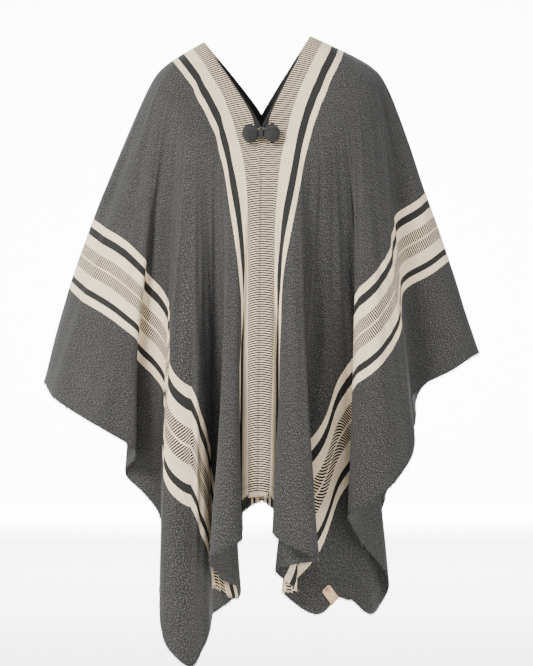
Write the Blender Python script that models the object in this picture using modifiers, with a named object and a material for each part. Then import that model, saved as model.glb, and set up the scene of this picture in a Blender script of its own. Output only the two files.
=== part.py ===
"""Andean poncho, worn and hollow, with no wearer.

Two woven panels hang from a neck slit. Each is one rectangle that runs over a shoulder,
front to back. Fold lines radiate from the slit, bend where the cloth leaves the
shoulders and chest, and then hang straight to the cut edge. A table row gives each
fold line. The front looks along +Y, so it faces -Y. Metres, +Z up. The origin is on
the shoulder line, midway across the neck.
"""
import math
from collections import namedtuple

import bmesh
import bpy
from mathutils import Matrix, Vector
from mathutils.bvhtree import BVHTree

# Cut of one panel, flat, in metres
PANEL_WIDTH = 0.70
HALF_LENGTH = 0.87
FRONT_SLIT = 0.215
BACK_SLIT = 0.186
WALL = 0.0018
SEAM_GAP = 0.0003
SELVEDGE = 0.006

# The worn shape at the neck and shoulders, in metres
FRONT_SLIT_BOTTOM = Vector((0.0, -0.098, -0.160))
BACK_SLIT_BOTTOM = Vector((0.0, 0.085, -0.128))
KNEE_RADIUS = 0.035
NECK_ROUNDING = 0.15
FOLD_ROUNDING = 0.016
CALM_SPREAD = 0.07

# Toggle, in metres: two puffs and the binding between them
TOGGLE_CENTRE = Vector((-0.0006, -0.1097, -0.1705))
TOGGLE_LEAN = -0.27
PUFF_LENGTH = 0.029
PUFF_HEIGHT = 0.031
PUFF_DEPTH = 0.0228
PUFF_PINCH = 0.42
BINDING_WIDTH = 0.007
BINDING_HEIGHT = 0.0225
BINDING_FLATNESS = 0.62

# Fringe below the centre front, in metres
FRINGE_WIDTH = 0.044
FRINGE_LENGTH = 0.010
FRINGE_CLEARANCE = 0.0008

# Leather tag folded over the hem of the right panel, and its rivet, in metres
TAG_STRETCH = (0.60, 0.63)
TAG_PLACE = 0.75
TAG_WIDTH = 0.019
TAG_LENGTH = 0.033
TAG_TURN = 0.0025
TAG_LIFT = 0.0008
LEATHER = 0.0015
RIVET_PLACE = 0.15
RIVET_DIAMETER = 0.0065
RIVET_HEIGHT = 0.0014
RIVET_LIFT = 0.0005

# Colours, linear
CHARCOAL = (0.10, 0.10, 0.10)
CREAM = (0.78, 0.71, 0.62)
FELT = (0.065, 0.065, 0.068)
TAN = (0.68, 0.46, 0.28)
NICKEL = (0.28, 0.26, 0.24)

# How finely the pieces are faceted
PUFF_SEGMENTS = 14
PUFF_RINGS = 8
BINDING_SEGMENTS = 16
FRINGE_STEPS = 6
TAG_COLUMNS = 4
TAG_ROWS = 4
RIVET_SEGMENTS = 16
CUT_EDGE_LEVEL = 2.0
UPPER_STEPS = 3
HANGING_STEPS = 6
COLUMN_SPACING = 0.029

CM = 0.01

Side = namedtuple("Side", "sign neck_out neck_up slit_curl shoulder_out shoulder_down")
LEFT = Side(sign=-1, neck_out=0.104, neck_up=0.0, slit_curl=1.1,
            shoulder_out=0.197, shoulder_down=0.046)
RIGHT = Side(sign=1, neck_out=0.088, neck_up=0.011, slit_curl=1.05,
             shoulder_out=0.224, shoulder_down=0.046)

# Where the cloth leaves the body: share of the way from shoulder (0) to centre (1),
# share of the shoulder's width, and depth and drop below the shoulder corner, in cm.
BodyRow = namedtuple("BodyRow", "share out deep down")
CHEST = (
    BodyRow(0.00, 1.00, -0.5, 0.0),
    BodyRow(0.20, 0.93, -5.0, 2.6),
    BodyRow(0.40, 0.79, -8.6, 7.2),
    BodyRow(0.60, 0.59, -11.2, 12.8),
    BodyRow(0.80, 0.32, -12.7, 19.0),
    BodyRow(1.00, 0.00, -13.0, 22.6),
)
SHOULDER_BLADES = (
    BodyRow(0.00, 1.00, 0.5, 0.0),
    BodyRow(0.20, 0.95, 5.0, 2.2),
    BodyRow(0.40, 0.80, 8.4, 6.0),
    BodyRow(0.60, 0.59, 10.4, 10.4),
    BodyRow(0.80, 0.32, 11.4, 15.0),
    BodyRow(1.00, 0.00, 11.6, 18.4),
)

# One row for each fold line, in cm. cut is the place of its lower end on the cut edge,
# measured from the centre front, down the hem and up the side edge. leaves is where it
# bends off the body. out, deep and down are where its lower end hangs.
# bow is how far its middle stands out.
FoldLine = namedtuple("FoldLine", "name cut leaves out deep down bow")
LEFT_FRONT = (
    FoldLine("centre seam", 0.0, 1.00, 0.6, -14.2, 81.2, 0),
    FoldLine("band edge", 2.5, 0.96, 2.5, -14.2, 81.4, 0),
    FoldLine("centre valley", 7.6, 0.935, 4.6, -10.9, 84.2, 0),
    FoldLine("valley return", 11.2, 0.92, 6.0, -11.6, 86.0, 0),
    FoldLine("pleat edge", 16.0, 0.89, 3.1, -16.8, 89.0, 0),
    FoldLine("pleat face", 20.0, 0.86, 6.1, -19.2, 91.2, 0),
    FoldLine("pleat back edge", 23.5, 0.83, 9.5, -17.4, 92.3, 0),
    FoldLine("pleat return", 29.0, 0.80, 6.9, -10.9, 97.0, 0),
    FoldLine("return fold", 34.0, 0.77, 3.8, -7.5, 98.4, 0),
    FoldLine("band end", 39.0, 0.74, 4.4, -5.4, 100.6, 0),
    FoldLine("band valley", 50.0, 0.70, 9.0, -3.4, 98.6, 0),
    FoldLine("corner lobe edge", 57.0, 0.65, 8.8, -9.0, 103.6, 0),
    FoldLine("corner lobe", 64.0, 0.61, 10.2, -13.0, 108.6, 0),
    FoldLine("corner hem", 68.4, 0.585, 11.6, -13.8, 111.6, 0),
    FoldLine("corner", 70.0, 0.575, 12.4, -14.0, 112.8, 0),
    FoldLine("corner side", 71.6, 0.565, 13.8, -14.0, 111.9, 0.6),
    FoldLine("lobe side low", 76.0, 0.535, 17.0, -13.6, 108.6, 1.4),
    FoldLine("lobe side middle", 86.0, 0.49, 18.2, -10.4, 98.6, 0.8),
    FoldLine("lobe side high", 101.0, 0.43, 18.4, -7.8, 85.0, 0),
    FoldLine("side valley", 107.0, 0.38, 21.3, -8.2, 81.4, 0),
    FoldLine("side valley back", 113.0, 0.33, 24.6, -7.2, 78.0, 0.6),
    FoldLine("outer lobe edge", 120.5, 0.27, 22.2, -13.0, 73.8, 1.1),
    FoldLine("outer lobe inner", 126.0, 0.22, 26.9, -13.2, 70.8, 0.8),
    FoldLine("outer lobe middle", 134.0, 0.16, 33.1, -10.2, 67.3, 0),
    FoldLine("outer lobe front", 141.0, 0.10, 37.4, -5.2, 64.4, 0.6),
    FoldLine("tip", 148.0, 0.05, 39.5, 1.0, 61.5, 1.6),
)
LEFT_BACK = (
    FoldLine("shoulder line", 157.0, 0.00, 38.4, 7.4, 62.0, 1.0),
    FoldLine("back tip fold", 167.0, 0.10, 33.8, 13.4, 64.0, 0),
    FoldLine("back side ridge", 178.0, 0.22, 27.4, 17.6, 67.4, 0),
    FoldLine("back side valley", 189.0, 0.34, 24.8, 9.6, 72.6, 0),
    FoldLine("back lobe edge", 202.0, 0.46, 20.6, 17.6, 78.8, 0),
    FoldLine("back lobe hollow", 216.0, 0.54, 17.6, 10.2, 88.4, 0),
    FoldLine("back lobe ridge", 231.0, 0.60, 15.4, 16.8, 98.4, 0),
    FoldLine("back corner side", 242.0, 0.65, 13.9, 13.4, 105.6, 0),
    FoldLine("back corner", 244.0, 0.665, 13.2, 12.6, 106.8, 0),
    FoldLine("back corner hem", 246.0, 0.68, 12.4, 11.4, 106.4, 0),
    FoldLine("back inner hem", 253.0, 0.71, 9.0, 8.2, 104.2, 0),
    FoldLine("back inner face", 257.0, 0.727, 6.4, 7.2, 102.4, 0),
    FoldLine("back inner fold", 261.0, 0.745, 4.3, 7.8, 100.4, 0),
    FoldLine("back inner return", 273.0, 0.795, 9.2, 11.8, 96.6, 0),
    FoldLine("back return", 279.0, 0.82, 4.8, 13.2, 94.6, 0),
    FoldLine("back pleat far edge", 286.0, 0.85, 7.9, 18.0, 93.0, 0),
    FoldLine("back pleat face", 290.5, 0.87, 5.0, 19.0, 91.0, 0),
    FoldLine("back pleat edge", 296.0, 0.893, 3.2, 16.4, 88.6, 0),
    FoldLine("back valley return", 301.5, 0.918, 4.2, 12.2, 86.4, 0),
    FoldLine("back centre valley", 305.0, 0.935, 2.8, 11.8, 85.2, 0),
    FoldLine("back band edge", 310.5, 0.965, 0.9, 14.2, 84.0, 0),
    FoldLine("back seam", 314.0, 1.00, 0.0, 14.4, 83.8, 0),
)
RIGHT_FRONT = (
    FoldLine("centre seam", 0.0, 1.00, -0.6, -14.2, 81.2, 0),
    FoldLine("band edge", 2.2, 0.96, 1.3, -14.2, 81.4, 0),
    FoldLine("centre valley", 8.0, 0.935, 3.7, -11.0, 84.0, 0),
    FoldLine("valley return", 11.0, 0.92, 4.5, -11.8, 85.6, 0),
    FoldLine("pleat edge", 16.0, 0.89, 1.6, -16.2, 88.1, 0),
    FoldLine("pleat face", 21.0, 0.85, 5.6, -18.8, 91.0, 0),
    FoldLine("pleat far edge", 27.0, 0.81, 10.6, -18.4, 92.8, 0),
    FoldLine("pleat return", 35.5, 0.76, 2.4, -9.4, 95.2, 0),
    FoldLine("striped edge", 42.5, 0.718, 6.4, -8.4, 98.8, 0),
    FoldLine("striped return", 52.5, 0.665, 4.0, -5.4, 99.8, 0),
    FoldLine("shaded face", 56.5, 0.64, 7.8, -5.2, 102.9, 0),
    FoldLine("low point", 60.0, 0.62, 11.3, -4.8, 103.6, 0),
    FoldLine("tag notch", 63.0, 0.605, 13.9, -3.8, 99.9, 0),
    FoldLine("corner hem", 66.5, 0.59, 17.0, -2.2, 101.6, 0),
    FoldLine("corner", 70.0, 0.57, 19.4, -0.8, 104.0, 0),
    FoldLine("corner fold", 74.5, 0.54, 22.1, 2.2, 101.6, 0),
    FoldLine("return edge", 79.0, 0.52, 23.2, 0.4, 97.7, 0),
    FoldLine("return", 87.0, 0.48, 19.0, -4.4, 91.8, 0),
    FoldLine("return inner", 93.0, 0.45, 16.2, -7.4, 87.6, 0),
    FoldLine("lobe edge", 99.0, 0.41, 16.0, -12.0, 84.6, 0),
    FoldLine("lobe low", 104.0, 0.37, 20.0, -13.4, 82.8, 0),
    FoldLine("lobe corner", 110.0, 0.32, 24.2, -11.6, 79.0, 0),
    FoldLine("lobe outer", 117.0, 0.27, 27.3, -9.4, 74.1, 0),
    FoldLine("lobe outer high", 122.0, 0.22, 27.5, -7.8, 70.4, 0),
    FoldLine("crease", 129.0, 0.17, 26.8, -3.2, 64.8, 0),
    FoldLine("outer fold", 134.0, 0.13, 28.8, -1.6, 62.4, 0),
    FoldLine("outer lobe", 141.0, 0.09, 34.6, -1.2, 59.6, 0),
    FoldLine("tip", 148.0, 0.05, 39.4, 1.6, 56.2, 0),
)
RIGHT_BACK = (
    FoldLine("shoulder line", 157.0, 0.00, 37.6, 9.0, 57.6, 0),
    FoldLine("back tip fold", 167.0, 0.10, 33.4, 14.4, 59.8, 0),
    FoldLine("back side ridge", 179.0, 0.22, 28.9, 18.4, 64.2, 0),
    FoldLine("back side valley", 190.0, 0.34, 27.9, 11.6, 70.4, 0),
    FoldLine("back lobe edge", 203.0, 0.45, 24.2, 17.0, 76.8, 0),
    FoldLine("back lobe hollow", 216.0, 0.53, 22.2, 11.4, 84.8, 0),
    FoldLine("back lobe ridge", 230.0, 0.60, 18.6, 17.4, 93.4, 0),
    FoldLine("back corner side", 242.0, 0.65, 17.0, 12.9, 101.0, 0),
    FoldLine("back corner", 244.0, 0.665, 16.4, 12.3, 102.2, 0),
    FoldLine("back corner hem", 246.0, 0.68, 15.5, 13.0, 101.8, 0),
    FoldLine("back corner fold", 252.0, 0.705, 12.4, 16.6, 101.2, 0),
    FoldLine("back inner hem", 260.0, 0.74, 10.8, 11.6, 99.6, 0),
    FoldLine("back inner face", 266.0, 0.765, 8.4, 8.2, 98.6, 0),
    FoldLine("back inner fold", 273.0, 0.795, 5.2, 7.6, 96.6, 0),
    FoldLine("back return", 278.0, 0.818, 5.8, 11.6, 95.0, 0),
    FoldLine("back pleat far edge", 286.0, 0.85, 9.0, 18.2, 93.0, 0),
    FoldLine("back pleat face", 290.5, 0.87, 5.6, 19.4, 91.0, 0),
    FoldLine("back pleat edge", 296.0, 0.893, 2.6, 17.0, 88.4, 0),
    FoldLine("back valley return", 301.5, 0.918, 4.0, 12.6, 86.6, 0),
    FoldLine("back centre valley", 305.0, 0.935, 2.5, 11.6, 85.4, 0),
    FoldLine("back band edge", 310.5, 0.965, 0.9, 14.2, 84.0, 0),
    FoldLine("back seam", 314.0, 1.00, 0.0, 14.4, 83.8, 0),
)


def slopes(xs, ys):
    """Slope at each knot of a smooth curve through points that are unevenly spaced."""
    steps = [b - a for a, b in zip(xs, xs[1:])]
    chords = [(b - a) / h for a, b, h in zip(ys, ys[1:], steps)]
    inner = [(chords[i] * steps[i + 1] + chords[i + 1] * steps[i]) / (steps[i] + steps[i + 1])
             for i in range(len(chords) - 1)]
    return [chords[0]] + inner + [chords[-1]]


def smooth(xs, ys, x):
    """Value at x of that curve; ys may be numbers or vectors."""
    tangents = slopes(xs, ys)
    i = max(0, min(len(xs) - 2, sum(1 for knot in xs if knot <= x) - 1))
    h = xs[i + 1] - xs[i]
    f = (x - xs[i]) / h
    return (ys[i] * (2 * f ** 3 - 3 * f ** 2 + 1) + ys[i + 1] * (3 * f ** 2 - 2 * f ** 3)
            + tangents[i] * (h * (f ** 3 - 2 * f ** 2 + f)) + tangents[i + 1] * (h * (f ** 3 - f ** 2)))


def body_point(side, rows, share):
    """Where a fold line bends off the body, for a share of the way to the centre."""
    places = [Vector((side.sign * side.shoulder_out * row.out, row.deep * CM,
                      -side.shoulder_down - row.down * CM)) for row in rows]
    return smooth([row.share for row in rows], places, share)


def slit_point(side, bottom, share):
    """A point of the neck slit's edge, from the neck (0) to the slit's end (1)."""
    rounding = math.hypot(1, NECK_ROUNDING) - NECK_ROUNDING
    eased = (math.hypot(share, NECK_ROUNDING) - NECK_ROUNDING) / rounding
    spread = side.neck_out * (1 - eased) ** side.slit_curl
    height = side.neck_up + (bottom.z - side.neck_up) * eased
    return Vector((side.sign * max(spread, SEAM_GAP / 2), bottom.y * share, height))


def cut_point(cut):
    """The flat place (across, along) of a point of the cut edge; along is + in front."""
    if cut <= PANEL_WIDTH:
        return Vector((cut, HALF_LENGTH))
    if cut <= PANEL_WIDTH + 2 * HALF_LENGTH:
        return Vector((PANEL_WIDTH, HALF_LENGTH + PANEL_WIDTH - cut))
    return Vector((2 * (PANEL_WIDTH + HALF_LENGTH) - cut, -HALF_LENGTH))


class Ray:
    """One fold line: its start on the slit, its bend at the body and its hanging end."""

    def __init__(self, side, row, is_front):
        self.cut = row.cut * CM
        share = row.leaves * (0.35 + 0.65 * row.leaves ** 2)
        bottom = FRONT_SLIT_BOTTOM if is_front else BACK_SLIT_BOTTOM
        slit = FRONT_SLIT if is_front else -BACK_SLIT
        self.flat_start = Vector((0.0, slit * share))
        self.start = slit_point(side, bottom, share)
        self.knee = body_point(side, CHEST if is_front else SHOULDER_BLADES, row.leaves)
        self.end = Vector((side.sign * row.out * CM, row.deep * CM, -row.down * CM))
        if row.leaves == 1.0:
            self.knee.x = side.sign * SEAM_GAP / 2
            self.end.x += side.sign * SEAM_GAP / 2
        self.bow = side.sign * row.bow * CM
        self.calm_end = self.end
        self.calm_weight = max(0.0, min(1.0, (row.leaves - 0.1) / 0.15)) if row.leaves < 1 else 0.0

    def at(self, level):
        """Point and flat share at a level: 0 slit, 1 the bend, 2 the cut edge."""
        upper = self.knee - self.start
        opening = 1 - self.calm_weight * min(1.0, 2 - level)
        hanging = self.calm_end.lerp(self.end, opening) - self.knee
        way = upper.length * (level - 1) if level < 1 else hanging.length * (level - 1)
        rounding = math.sqrt(way ** 2 + KNEE_RADIUS ** 2 * level * (2 - level))
        point = (self.knee - upper.normalized() * (rounding - way) / 2
                 + hanging.normalized() * (rounding + way) / 2)
        if level > 1:
            point.x += self.bow * math.sin(math.pi * (level - 1) ** 1.3)
        flat_length = (cut_point(self.cut) - self.flat_start).length
        bend = upper.length / flat_length
        flat_share = bend * level if level < 1 else bend + (1 - bend) * (level - 1)
        return point, flat_share


def panel_rays(side, front_rows, back_rows):
    """The panel's fold lines; near the body each follows its neighbours, and it opens lower down."""
    rays = ([Ray(side, row, True) for row in front_rows]
            + [Ray(side, row, False) for row in back_rows])
    for ray in rays:
        pulls = [math.exp(-((ray.cut - other.cut) / CALM_SPREAD) ** 2) for other in rays]
        mean = sum((other.end * pull for other, pull in zip(rays, pulls)), Vector()) / sum(pulls)
        ray.calm_end = Vector((mean.x, mean.y, ray.end.z))
    return rays


def level_values():
    upper = [i / UPPER_STEPS for i in range(UPPER_STEPS)]
    return upper + [1 + i / HANGING_STEPS for i in range(HANGING_STEPS + 1)]


def cut_values(rays):
    """Places along the cut edge for the mesh's columns, with a flat selvedge each side."""
    cuts = [ray.cut for ray in rays]
    values = []
    for start, stop in zip(cuts, cuts[1:]):
        steps = max(1, round((stop - start) / COLUMN_SPACING))
        values += [start + (stop - start) * i / steps for i in range(steps)]
    values.append(cuts[-1])
    values.insert(1, cuts[0] + SELVEDGE)
    values.insert(len(values) - 1, cuts[-1] - SELVEDGE)
    return values


def cloth_point(rays, cut, level):
    """Place on a panel's outer face for a place on its cut edge and a level."""
    cuts = [ray.cut for ray in rays]
    points = [ray.at(level)[0] for ray in rays]
    reach = min(FOLD_ROUNDING, cut, cuts[-1] - cut)
    nearby = smooth(cuts, points, cut - reach) + smooth(cuts, points, cut + reach)
    return (smooth(cuts, points, cut) * 2 + nearby) / 4


def flatten_selvedges(side, grid):
    """The strip beside each seam lies square to the seam, so the panels meet face to face."""
    for line in grid:
        for edge, beside in ((0, 1), (-1, -2)):
            spread = side.sign * (line[beside].x - line[edge].x)
            line[beside].x = line[edge].x + side.sign * max(spread, SELVEDGE / 2)
            line[beside].y = line[edge].y
            line[beside].z = line[edge].z


def panel_grid(side, rays):
    grid = [[cloth_point(rays, cut, level) for cut in cut_values(rays)] for level in level_values()]
    flatten_selvedges(side, grid)
    return grid


def finish(name, colour, roughness, metallic=0.0):
    """A plain material; the colour is linear."""
    made = bpy.data.materials.new(name)
    made.use_nodes = True
    shader = made.node_tree.nodes["Principled BSDF"]
    shader.inputs["Base Color"].default_value = (*colour, 1.0)
    shader.inputs["Roughness"].default_value = roughness
    shader.inputs["Metallic"].default_value = metallic
    return made


def grid_mesh(name, grid):
    """An open sheet through rows of points."""
    sheet = bmesh.new()
    lines, columns = len(grid), len(grid[0])
    bmesh.ops.create_grid(sheet, x_segments=columns - 1, y_segments=lines - 1, size=0.5)
    for vert in sheet.verts:
        column = round((vert.co.x + 0.5) * (columns - 1))
        line = round((vert.co.y + 0.5) * (lines - 1))
        vert.co = grid[line][column]
    mesh = bpy.data.meshes.new(name)
    sheet.to_mesh(mesh)
    sheet.free()
    return mesh


def new_object(name, mesh, collection, material):
    piece = bpy.data.objects.new(name, mesh)
    collection.objects.link(piece)
    mesh.materials.append(material)
    mesh.shade_smooth()
    return piece


def give_wall(piece, thickness, offset):
    wall = piece.modifiers.new("wall", "SOLIDIFY")
    wall.thickness = thickness
    wall.offset = offset


def make_panel(name, side, rays, collection, material):
    mesh = grid_mesh(name, panel_grid(side, rays))
    if side.sign > 0:
        mesh.flip_normals()
    give_wall(new_object(name, mesh, collection, material), WALL, -1.0)
    return mesh


def make_fringe(left_rays, right_rays, collection, material):
    """The plain solid of the short warp fringe below the bottom of the centre front."""
    cuts = [FRINGE_WIDTH * (i / FRINGE_STEPS - 0.5) for i in range(FRINGE_STEPS + 1)]
    hem = [cloth_point(left_rays if cut < 0 else right_rays, abs(cut), CUT_EDGE_LEVEL) for cut in cuts]
    top = [point + Vector((0, 0, -FRINGE_CLEARANCE)) for point in hem]
    tips = [point + Vector((0, 0, -FRINGE_LENGTH)) for point in top]
    mesh = grid_mesh("centre_fringe", [tips, top])
    give_wall(new_object("centre_fringe", mesh, collection, material), WALL, -1.0)


def puff_mesh(name, sign):
    """A gathered end of the toggle: a swollen bow half, pinched where the binding grips it."""
    puff = bmesh.new()
    bmesh.ops.create_uvsphere(puff, u_segments=PUFF_SEGMENTS, v_segments=PUFF_RINGS, radius=1.0)
    for vert in puff.verts:
        along = (vert.co.x + 1) / 2
        swell = PUFF_PINCH + (1 - PUFF_PINCH) * math.sin(min(1.0, along * 1.25) * math.pi / 2)
        vert.co = Vector((sign * (BINDING_WIDTH / 2 + SEAM_GAP + along * PUFF_LENGTH),
                          vert.co.y * swell * PUFF_DEPTH / 2,
                          vert.co.z * swell * PUFF_HEIGHT / 2))
    if sign < 0:
        bmesh.ops.reverse_faces(puff, faces=puff.faces)
    mesh = bpy.data.meshes.new(name)
    puff.to_mesh(mesh)
    puff.free()
    return mesh


def binding_mesh(name):
    """The short drum of the wound binding, rounded at its rims."""
    drum = bmesh.new()
    bmesh.ops.create_cone(drum, cap_ends=True, segments=BINDING_SEGMENTS, radius1=BINDING_HEIGHT / 2,
                          radius2=BINDING_HEIGHT / 2, depth=BINDING_WIDTH,
                          matrix=Matrix.Rotation(math.pi / 2, 4, "Y"))
    rims = [edge for edge in drum.edges if len({round(vert.co.x, 6) for vert in edge.verts}) == 1]
    bmesh.ops.bevel(drum, geom=rims, offset=BINDING_WIDTH / 4, segments=1, profile=0.5,
                    affect="EDGES", material=-1)
    for vert in drum.verts:
        vert.co.y *= PUFF_DEPTH * BINDING_FLATNESS / BINDING_HEIGHT
    mesh = bpy.data.meshes.new(name)
    drum.to_mesh(mesh)
    drum.free()
    return mesh


def make_toggle(collection, felt, binding):
    """Two puffs and their binding lie on the cloth over the end of the neck slit."""
    pieces = [new_object("toggle_left", puff_mesh("toggle_left", -1), collection, felt),
              new_object("toggle_right", puff_mesh("toggle_right", 1), collection, felt),
              new_object("toggle_binding", binding_mesh("toggle_binding"), collection, binding)]
    for piece in pieces:
        piece.location = TOGGLE_CENTRE
        piece.rotation_euler = (TOGGLE_LEAN, 0, 0)


def face_tree(mesh):
    return BVHTree.FromPolygons([vert.co for vert in mesh.vertices],
                                [tuple(face.vertices) for face in mesh.polygons])


def tag_lines(rays, panel_mesh):
    """Rows of points for the tag: down its outer leaf, round the cut edge, up its inner leaf."""
    tree = face_tree(panel_mesh)
    low, high = (cloth_point(rays, cut, CUT_EDGE_LEVEL) for cut in TAG_STRETCH)
    along = (high - low).normalized()
    middle = low.lerp(high, TAG_PLACE)
    out = tree.find_nearest(middle)[1]
    up = along.cross(out)
    up = up if up.z > 0 else -up
    stand = SEAM_GAP + TAG_LIFT + LEATHER / 2
    outer, inner = [], []
    for i in range(TAG_ROWS + 1):
        base = middle + up * TAG_LENGTH * (1 - i / TAG_ROWS)
        seats = [tree.find_nearest(base + along * TAG_WIDTH * (j / TAG_COLUMNS - 0.5))[0]
                 for j in range(TAG_COLUMNS + 1)]
        outer.append([seat + out * stand for seat in seats])
        inner.insert(0, [seat - out * (stand + WALL) for seat in seats])
    turn = [[(a + b) / 2 - up * TAG_TURN for a, b in zip(outer[-1], inner[0])]]
    return outer + turn + inner


def make_tag(rays, panel_mesh, collection, leather, metal):
    """The leather tag, and the cap of the rivet that holds it."""
    lines = tag_lines(rays, panel_mesh)
    mesh = grid_mesh("leather_tag", lines)
    give_wall(new_object("leather_tag", mesh, collection, leather), LEATHER, 0.0)
    middle = TAG_COLUMNS // 2
    seat = lines[0][middle].lerp(lines[TAG_ROWS][middle], RIVET_PLACE)
    place, out = face_tree(mesh).find_nearest(seat)[:2]
    bpy.ops.mesh.primitive_cylinder_add(vertices=RIVET_SEGMENTS, radius=RIVET_DIAMETER / 2, depth=RIVET_HEIGHT)
    rivet = bpy.context.object
    rivet.name = "tag_rivet"
    rivet.data.name = "tag_rivet"
    if out.y > 0:
        out = -out
    rivet.location = place + out * (LEATHER / 2 + RIVET_LIFT + RIVET_HEIGHT / 2)
    rivet.rotation_euler = out.to_track_quat("Z", "Y").to_euler()
    for home in list(rivet.users_collection):
        home.objects.unlink(rivet)
    collection.objects.link(rivet)
    rivet.data.materials.append(metal)


def main():
    for thing in list(bpy.data.objects):
        bpy.data.objects.remove(thing, do_unlink=True)
    poncho = bpy.data.collections.new("andean_poncho")
    bpy.context.scene.collection.children.link(poncho)
    left_rays = panel_rays(LEFT, LEFT_FRONT, LEFT_BACK)
    right_rays = panel_rays(RIGHT, RIGHT_FRONT, RIGHT_BACK)
    make_panel("left_panel", LEFT, left_rays, poncho, finish("wool left", CHARCOAL, 0.92))
    right_mesh = make_panel("right_panel", RIGHT, right_rays, poncho, finish("wool right", CHARCOAL, 0.92))
    make_fringe(left_rays, right_rays, poncho, finish("cream wool", CREAM, 0.92))
    make_toggle(poncho, finish("felted wool", FELT, 0.95), finish("wound yarn", CHARCOAL, 0.92))
    make_tag(right_rays, right_mesh, poncho, finish("tanned leather", TAN, 0.6),
             finish("nickel", NICKEL, 0.35, metallic=1.0))


main()
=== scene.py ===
"""Andean poncho in heather wool twill, worn and hollow: the visible model.

Each panel is one sheet between fold lines that fan out from the neck slit. Its UV map is
the cloth as cut, in metres: U across from the centre, V along from the shoulder line,
plus in front. Stripes, weave and frayed edges all read that map.
"""

import math
import random
from collections import namedtuple

import bmesh
import bpy
import numpy as np
from mathutils import Matrix, Vector
from mathutils.bvhtree import BVHTree


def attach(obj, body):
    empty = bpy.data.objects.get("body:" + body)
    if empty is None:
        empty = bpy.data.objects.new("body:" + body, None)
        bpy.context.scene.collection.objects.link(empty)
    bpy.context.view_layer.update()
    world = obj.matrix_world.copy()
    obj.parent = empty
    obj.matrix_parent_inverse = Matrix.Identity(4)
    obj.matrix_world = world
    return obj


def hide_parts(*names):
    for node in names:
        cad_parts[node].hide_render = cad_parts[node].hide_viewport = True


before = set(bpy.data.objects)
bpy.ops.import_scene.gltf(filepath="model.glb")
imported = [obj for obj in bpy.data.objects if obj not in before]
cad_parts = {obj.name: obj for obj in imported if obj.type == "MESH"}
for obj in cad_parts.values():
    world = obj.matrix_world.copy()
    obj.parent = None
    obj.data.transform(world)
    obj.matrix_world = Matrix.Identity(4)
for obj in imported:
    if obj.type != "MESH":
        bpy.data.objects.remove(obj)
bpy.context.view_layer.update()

MM = 0.001
CM = 0.01

# The cut of one panel, flat, in metres
PANEL_WIDTH = 0.70
HALF_LENGTH = 0.87
FRONT_SLIT = 0.215
BACK_SLIT = 0.186
WALL = 0.0018
SEAM_GAP = 0.0003
SELVEDGE = 0.006

# The worn shape at the neck and shoulders, in metres
FRONT_SLIT_BOTTOM = np.array((0.0, -0.098, -0.160))
BACK_SLIT_BOTTOM = np.array((0.0, 0.085, -0.128))
KNEE_RADIUS = 0.035
NECK_ROUNDING = 0.15
FOLD_ROUNDING = 0.016
CALM_SPREAD = 0.07

# How finely each sheet is meshed
UPPER_STEPS = 14
HANGING_STEPS = 96
COLUMNS = 372

Side = namedtuple("Side", "sign neck_out neck_up slit_curl shoulder_out shoulder_down")
LEFT = Side(sign=-1, neck_out=0.104, neck_up=0.0, slit_curl=1.1,
            shoulder_out=0.197, shoulder_down=0.046)
RIGHT = Side(sign=1, neck_out=0.088, neck_up=0.011, slit_curl=1.05,
             shoulder_out=0.224, shoulder_down=0.046)

# Where the cloth leaves the body: share of the way from shoulder (0) to centre (1),
# share of the shoulder's width, and depth and drop below the shoulder corner, in cm.
BodyRow = namedtuple("BodyRow", "share out deep down")
CHEST = (
    BodyRow(0.00, 1.00, -0.5, 0.0),
    BodyRow(0.20, 0.93, -5.0, 2.6),
    BodyRow(0.40, 0.79, -8.6, 7.2),
    BodyRow(0.60, 0.59, -11.2, 12.8),
    BodyRow(0.80, 0.32, -12.7, 19.0),
    BodyRow(1.00, 0.00, -13.0, 22.6),
)
SHOULDER_BLADES = (
    BodyRow(0.00, 1.00, 0.5, 0.0),
    BodyRow(0.20, 0.95, 5.0, 2.2),
    BodyRow(0.40, 0.80, 8.4, 6.0),
    BodyRow(0.60, 0.59, 10.4, 10.4),
    BodyRow(0.80, 0.32, 11.4, 15.0),
    BodyRow(1.00, 0.00, 11.6, 18.4),
)

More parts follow.
